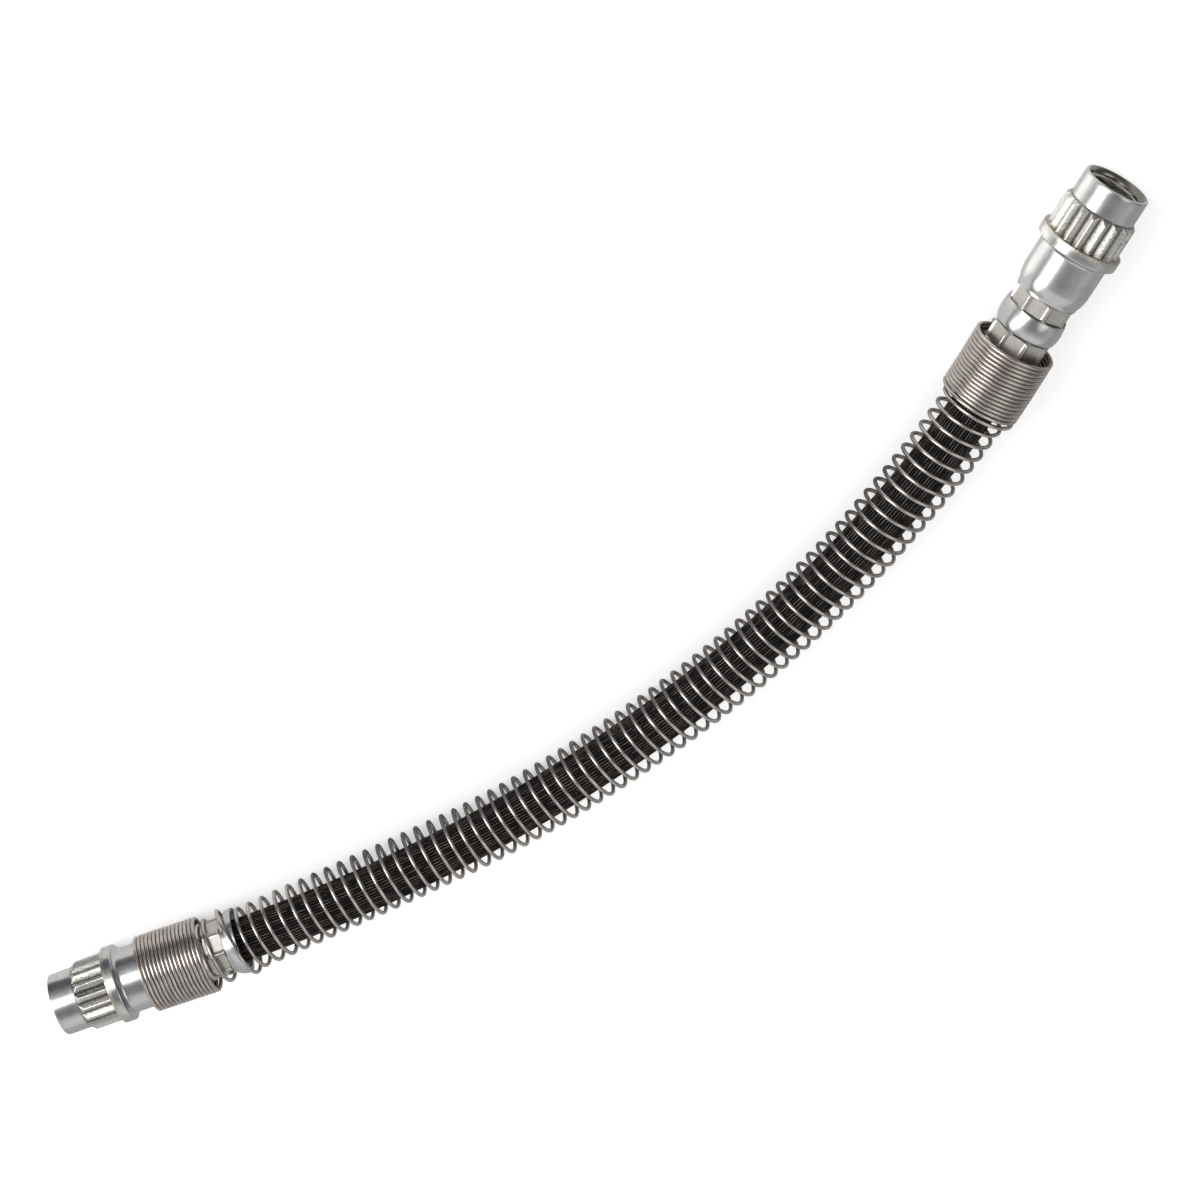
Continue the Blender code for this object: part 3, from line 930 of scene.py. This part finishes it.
def ribbed_rubber(finish):
    """Black rubber with rib tops painted lighter, for wear and for the sheen on the crests, and a
    few small pale scuffs.
    """
    paint = PaintMaker("ribbed_rubber")
    place = paint.place()
    crest = paint.out(paint.node("ShaderNodeAttribute", {"attribute_name": "rib_crest"}), "Fac")
    streak = paint.noise(place, 1.0, 3.0, 0.6, (0.25, 2.6, 2.6))
    grain = paint.noise(place, 6.0, 4.0, 0.6)
    rub = paint.noise(place, 0.9, 3.0, 0.6, (0.4, 2.2, 2.2))
    # The rib tops are lighter: partly wear, partly a painted sheen on the crests.
    wear_and_sheen = paint.ramp(crest, 0.45, 0.95) * (0.12 + 0.88 * paint.ramp(streak, 0.42, 0.62))
    base = paint.mix(wear_and_sheen, rgba(finish.rubber), rgba(finish.rib))
    marks = paint.ramp(rub, 0.66, 0.74) * paint.ramp(crest, 0.4, 0.9)
    base = paint.mix(marks * 0.6, base, rgba(finish.scuff))
    roughness = 0.46 + 0.18 * grain - 0.08 * wear_and_sheen
    normal = paint.bump(grain, 0.35, 0.00006)
    return paint.finish(specular=0.06, base_color=base, roughness=roughness, normal=normal)


def make_hose(context):
    settings, run = settings_and_run(context)
    hose = settings.hose
    rubber = ribbed_rubber(settings.finish)
    obj = grow(hose_tube(settings, run), rib_tree(), rib_height=hose.rib_height, material=rubber)
    obj.data.shade_smooth()
    obj.data.set_sharp_from_angle(angle=math.radians(50))
    enlist(obj, "hose")
    places = np.linspace(hose.start, run.length - hose.start, 120)
    run.at(hose.start)
    run.length - 2 * hose.start
    [run.at(place) for place in places]


# Guard spring


def coil_stations(settings, run):
    """Turn number with the place along the hose, and with the coil's radius to mid-wire."""
    fitting, spring = settings.fitting, settings.spring
    close, loose = spring.close_diameter / 2, spring.open_diameter / 2
    over_lip = fitting.lip_diameter / 2 + spring.wire / 2 + 0.0003
    first, last = 0.0218, run.length - 0.0402
    # turn numbers where the left close coil, the step over the bell and the open coils end
    a = 15.4
    left_end = first + a * spring.close_pitch
    b = a + 5.85
    c = b + 60
    d = c + 2.35
    right_close_turns = 15.3
    right_start = last - right_close_turns * spring.close_pitch
    end = d + right_close_turns
    lip = fitting.length
    left_open, right_open = lip + 0.0123, right_start - 0.0051
    free = right_open - left_open
    places = [
        (0.0, first), (a - 1, left_end - spring.close_pitch), (a, left_end),
        (a + 0.6, lip - 0.0071), (a + 1.1, lip - 0.0054), (a + 1.6, lip - 0.0030),
        (a + 1.88, lip - 0.0001), (a + 2.05, lip + 0.0008), (a + 2.6, lip + 0.0016),
        (a + 2.85, lip + 0.0023), (a + 3.85, lip + 0.0056), (b, left_open),
        (b + 15, left_open + free * 0.2492), (b + 30, left_open + free * 0.4953),
        (b + 45, left_open + free * 0.7446), (c, right_open), (c + 1.0, right_start - 0.0020),
        (d, right_start), (d + 1, right_start + spring.close_pitch), (end, last),
    ]
    radii = [
        (0.0, close), (a, close), (a + 0.6, loose + 0.0003), (a + 1.2, loose + 0.0002),
        (a + 1.45, loose + 0.0006), (a + 1.7, over_lip + 0.0003), (a + 1.95, over_lip + 0.0001),
        (a + 2.15, loose + 0.0003), (a + 2.6, loose), (c, loose), (c + 0.75, loose + 0.0002),
        (c + 1.25, close - 0.0001), (d, close), (end, close),
    ]
    return places, radii


def coil_shift(run):
    """How far the coil stands to the outer side of the hose's centreline, at a place."""
    last = run.length - 0.0400
    stations = [
        (0.021, 0.00010), (0.035, 0.00050), (0.038, 0.00059), (0.045, 0.00035), (0.058, -0.00060),
        (0.075, -0.00115), (0.092, -0.00090), (0.106, -0.00030), (0.130, 0.00010),
        (0.190, 0.00055), (0.213, 0.00045), (0.232, 0.00015), (0.258, 0.00025), (last, 0.0),
    ]

    def shift(place):
        side = run.frame(place)[2]
        return side * smooth_through(stations, np.clip(place, 0.021, last))

    return shift


def coil_line(settings, run):
    """The middle of the wire as a curve."""
    spring = settings.spring
    stations, radii = coil_stations(settings, run)
    last_turn = stations[-1][0]
    turns = np.linspace(0, last_turn, round(last_turn * spring.steps) + 1)
    shift = coil_shift(run)
    points = []
    for number, place, radius in zip(
        turns, smooth_through(stations, turns), smooth_through(radii, turns)
    ):
        point, _, side, up = run.frame(place, shift)
        angle = 2 * math.pi * number + spring.phase
        points.append(point + radius * (math.sin(angle) * up - math.cos(angle) * side))
    curve = bpy.data.curves.new("spring_wire", "CURVE")
    curve.dimensions = "3D"
    line = curve.splines.new("POLY")
    line.points.add(len(points) - 1)
    line.points.foreach_set("co", [x for p in points for x in (*p, 1.0)])
    return add_object("spring_wire", curve)


def wire_tree():
    """Draws a round wire along a line, with each point's place on the straight wire."""
    maker = TreeMaker("Draw Wire", wire_radius="size", sides="number", material="material")
    radius = maker.given("wire_radius")
    spline = maker.node("GeometryNodeSplineParameter")
    line = maker.store(maker.given("geometry"), "wire_length", maker.out(spline, "Length"))
    values = {"Resolution": maker.given("sides"), "Radius": radius}
    circle = maker.out(maker.node("GeometryNodeCurvePrimitiveCircle", None, values))
    circle = maker.store(circle, "wire_side", maker.out(spline, "Factor"))
    values = {"Curve": line, "Profile Curve": circle, "Fill Caps": True}
    tube = maker.out(maker.node("GeometryNodeCurveToMesh", None, values))
    around = maker.stored("wire_side") * (2 * math.pi)
    place = maker.join(
        maker.stored("wire_length"),
        maker.math("COSINE", around) * radius,
        maker.math("SINE", around) * radius,
    )
    return maker.end(maker.store(tube, "straight_place", place, "FLOAT_VECTOR"))


def drawn_wire(finish):
    """Drawn spring wire: fine streaks along it and a warm grey bloom."""
    paint = PaintMaker("spring_wire_steel")
    place = paint.place()
    streak = paint.noise(place, 3.2, 4.0, 0.65, (0.05, 2.4, 2.4))
    cloud = paint.noise(place, 0.16, 3.0)
    speck = paint.noise(place, 4.0, 3.0, 0.6)
    base = paint.mix(paint.ramp(streak, 0.34, 0.6), rgba(finish.wire_dark), rgba(finish.wire))
    base = paint.mix(paint.ramp(cloud, 0.35, 0.65) * 0.35, base, rgba(finish.wire, 1.2))
    roughness = 0.19 + 0.1 * streak + 0.06 * cloud
    normal = paint.bump(streak, 0.12, 0.00004)
    normal = paint.bump(speck, 0.06, 0.00004, normal)
    return paint.finish(base_color=base, metallic=1.0, roughness=roughness, normal=normal)


def make_guard_spring(context):
    settings, run = settings_and_run(context)
    spring = settings.spring
    obj = grow(
        coil_line(settings, run),
        wire_tree(),
        wire_radius=spring.wire / 2,
        sides=spring.sides,
        material=drawn_wire(settings.finish),
    )
    obj.data.shade_smooth()
    obj.data.set_sharp_from_angle(angle=math.radians(60))
    enlist(obj, "guard_spring")


# Stage


def floor_finish(finish):
    """Pale floor that the camera and the metal see as white where no shadow falls."""
    paint = PaintMaker("studio_floor")
    path = paint.node("ShaderNodeLightPath")
    mirrored = paint.out(path, "Is Glossy Ray").most(paint.out(path, "Is Transmission Ray"))
    glow = paint.out(path, "Is Camera Ray") * 0.42 + mirrored * 0.12
    glow = paint.join(glow, glow, glow)
    return paint.finish(
        specular=0.0,
        base_color=rgba(finish.floor),
        roughness=0.9,
        emission_color=glow,
        emission_strength=1.0,
    )


def sky(stage):
    """White to the camera. The metal sees grey walls, dark overhead and low behind the bend."""
    world = bpy.data.worlds.new("studio")
    bpy.context.scene.world = world
    world.use_nodes = True
    maker = Maker(world.node_tree)
    background = world.node_tree.nodes["Background"]
    coordinates = maker.node("ShaderNodeTexCoord")
    x, y, z = maker.split(maker.out(coordinates, "Generated"))
    slant = x + y * 0.5
    pale_side = (1 - maker.ramp(slant, -0.6, -0.4)) * maker.ramp(z, 0.3, 0.6)
    dark_top = maker.ramp(slant, -0.48, -0.28) * maker.ramp(z, 0.62, 0.93)
    dark_foot = (1 - maker.ramp(z, 0.08, 0.32)) * maker.ramp(y, 0.3, 0.7) * maker.ramp(x, -0.4, 0.0)
    dark_end = maker.ramp(x, 0.2, 0.55) * (1 - maker.ramp(z, 0.55, 0.85))
    dark_front = (1 - maker.ramp(y, -0.95, -0.75)) * (1 - maker.ramp(z, 0.3, 0.6))
    to_window = x * 0.35 - y * 0.2 + z * 0.915
    window = maker.ramp(to_window, 0.9, 0.97)
    walls = 0.62 + pale_side * 0.28 - dark_top * 0.38 - (dark_foot * 0.34).most(dark_end * 0.42)
    walls = walls + window * 1.3 - dark_front * 0.14
    path = maker.node("ShaderNodeLightPath")
    seen = maker.out(path, "Is Camera Ray")
    level = walls * stage.sky
    level = level * (1 - seen) + seen
    maker.feed(background.inputs["Color"], maker.join(level, level, level))


def strip_light(stage):
    """Long soft light behind the bend, lower towards the right end."""
    light = bpy.data.lights.new("strip_light", "AREA")
    light.shape = "RECTANGLE"
    light.size, light.size_y = stage.strip_length, stage.strip_width
    light.energy = stage.strip
    obj = add_object("strip_light", light)
    back = strip_place.normalized()
    along = (strip_along - strip_along.dot(back) * back).normalized()
    axes = Matrix((along, back.cross(along), back)).transposed()
    obj.matrix_world = Matrix.Translation(strip_place) @ axes.to_4x4()


def card(name, centre, heading, size, shade, glow=0.0):
    """Card on the table that only reflections show: it gives the metal a light or dark band."""
    bpy.ops.mesh.primitive_plane_add(size=1, location=centre, rotation=(0, 0, heading))
    obj = bpy.context.object
    obj.name = name
    obj.data.transform(Matrix.Diagonal((*size, 1.0, 1.0)))
    paint = PaintMaker(name)
    surface = paint.finish(
        specular=0.0, base_color=shade, roughness=0.9, emission_color=shade, emission_strength=glow
    )
    obj.data.materials.append(surface)
    obj.visible_camera = False
    obj.visible_diffuse = False
    obj.visible_shadow = False
    obj.visible_transmission = False


def set_cards(run):
    """Dark cards behind the bend, a grey one before it and a pale one beside the right fitting."""
    for name, centre, size, shade in flat_cards:
        card(name, centre, 0.0, size, shade)
    heading = math.atan2(run.right_axis[1], run.right_axis[0])
    side = Vector((-math.sin(heading), math.cos(heading), 0))
    ahead = Vector((math.cos(heading), math.sin(heading), 0))
    behind, beside, over = pale_card_place
    nose = Vector((run.right_nose[0], run.right_nose[1], over))
    centre = nose - ahead * behind + side * beside
    card("pale_card", centre, heading, pale_card_size, pale_card_shade, pale_card_glow)


def set_stage(context):
    settings, run = settings_and_run(context)
    stage = settings.stage
    bpy.ops.mesh.primitive_plane_add(size=8, location=(0, 0, 0))
    floor = context.object
    floor.name = "floor"
    floor.data.materials.append(floor_finish(settings.finish))
    sky(stage)
    strip_light(stage)
    set_cards(run)
    camera = bpy.data.cameras.new("camera")
    camera.sensor_fit = "AUTO"
    camera.angle = stage.view_angle
    camera.clip_start = 0.01
    camera.clip_end = 30
    obj = add_object("camera", camera)
    axes = Matrix((camera_right, camera_up, camera_back)).transposed()
    obj.matrix_world = Matrix.Translation(camera_place) @ axes.to_4x4()
    context.scene.camera = obj
    context.scene.view_settings.view_transform = "Standard"


class BRAKEHOSE_OT_fittings(bpy.types.Operator):
    """Make both crimped end fittings"""

    bl_idname = "brake_hose.fittings"
    bl_label = "End Fittings"

    def execute(self, context):
        make_fittings(context)
        return {"FINISHED"}


class BRAKEHOSE_OT_inserts(bpy.types.Operator):
    """Give both inserts their steel"""

    bl_idname = "brake_hose.inserts"
    bl_label = "Inserts"

    def execute(self, context):
        dress_inserts(context)
        return {"FINISHED"}


class BRAKEHOSE_OT_hose(bpy.types.Operator):
    """Make the ribbed rubber hose"""

    bl_idname = "brake_hose.hose"
    bl_label = "Hose"

    def execute(self, context):
        make_hose(context)
        return {"FINISHED"}


class BRAKEHOSE_OT_guard_spring(bpy.types.Operator):
    """Wind the guard spring"""

    bl_idname = "brake_hose.guard_spring"
    bl_label = "Guard Spring"

    def execute(self, context):
        make_guard_spring(context)
        return {"FINISHED"}


class BRAKEHOSE_OT_stage(bpy.types.Operator):
    """Set the floor, the lights and the camera"""

    bl_idname = "brake_hose.stage"
    bl_label = "Stage"

    def execute(self, context):
        set_stage(context)
        return {"FINISHED"}


class BRAKEHOSE_PT_panel(bpy.types.Panel):
    """Lists the sizes and the pieces of the brake hose"""

    bl_label = "Brake Hose"
    bl_idname = "BRAKEHOSE_PT_panel"
    bl_space_type = "VIEW_3D"
    bl_region_type = "UI"
    bl_category = "Brake Hose"

    def draw(self, context):
        settings = context.scene.brake_hose
        for part in BrakeHoseSettings.__annotations__:
            group = getattr(settings, part)
            box = self.layout.box()
            for name in group.__annotations__:
                box.prop(group, name)
        for operator in operators:
            self.layout.operator(operator.bl_idname)


property_groups = (
    RunSizes, FittingSizes, HoseSizes, SpringSizes, Finishes, StageSizes, BrakeHoseSettings,
)
operators = (
    BRAKEHOSE_OT_fittings, BRAKEHOSE_OT_inserts, BRAKEHOSE_OT_hose, BRAKEHOSE_OT_guard_spring,
    BRAKEHOSE_OT_stage,
)
classes = (*property_groups, *operators, BRAKEHOSE_PT_panel)


def register():
    for cls in classes:
        bpy.utils.register_class(cls)
    bpy.types.Scene.brake_hose = bpy.props.PointerProperty(type=BrakeHoseSettings)


def unregister():
    del bpy.types.Scene.brake_hose
    for cls in reversed(classes):
        bpy.utils.unregister_class(cls)


def main():
    register()
    bpy.ops.brake_hose.fittings()
    bpy.ops.brake_hose.inserts()
    bpy.ops.brake_hose.hose()
    bpy.ops.brake_hose.guard_spring()
    bpy.ops.brake_hose.stage()


if __name__ == "__main__":
    main()
